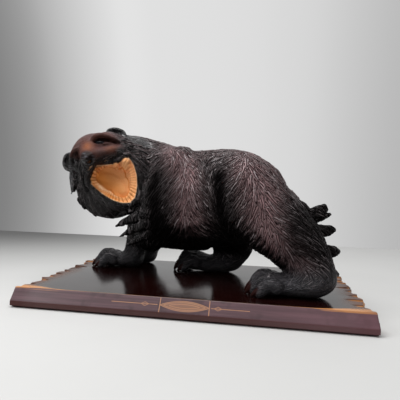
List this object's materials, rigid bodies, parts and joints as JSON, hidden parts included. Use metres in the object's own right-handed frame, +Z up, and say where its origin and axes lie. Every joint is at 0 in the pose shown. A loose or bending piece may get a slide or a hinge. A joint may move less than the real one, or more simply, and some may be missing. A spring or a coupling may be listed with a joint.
{
  "type": "carved wooden bear",
  "caption": "Carved wooden bear that roars over its shoulder, with deep-cut fur, on a low lacquered board with sloped edges and rough-hewn ends.",
  "frame": {"origin": "centre of the board's underside, where it rests", "axes": "+X along the board's front edge, to the right as it is seen from in front; +Y from the front edge to the back; +Z up"},
  "size_m": [0.6267, 0.381, 0.3482],
  "materials": {
    "lacquered_board": "dark reddish-brown lacquer, glossy",
    "carved_wood": "dark stain, worn reddish on the crests, bare wood in the mouth"
  },
  "bodies": {
    "root": {"base": "lacquered_board", "bear": "carved_wood"}
  },
  "joints": []
}
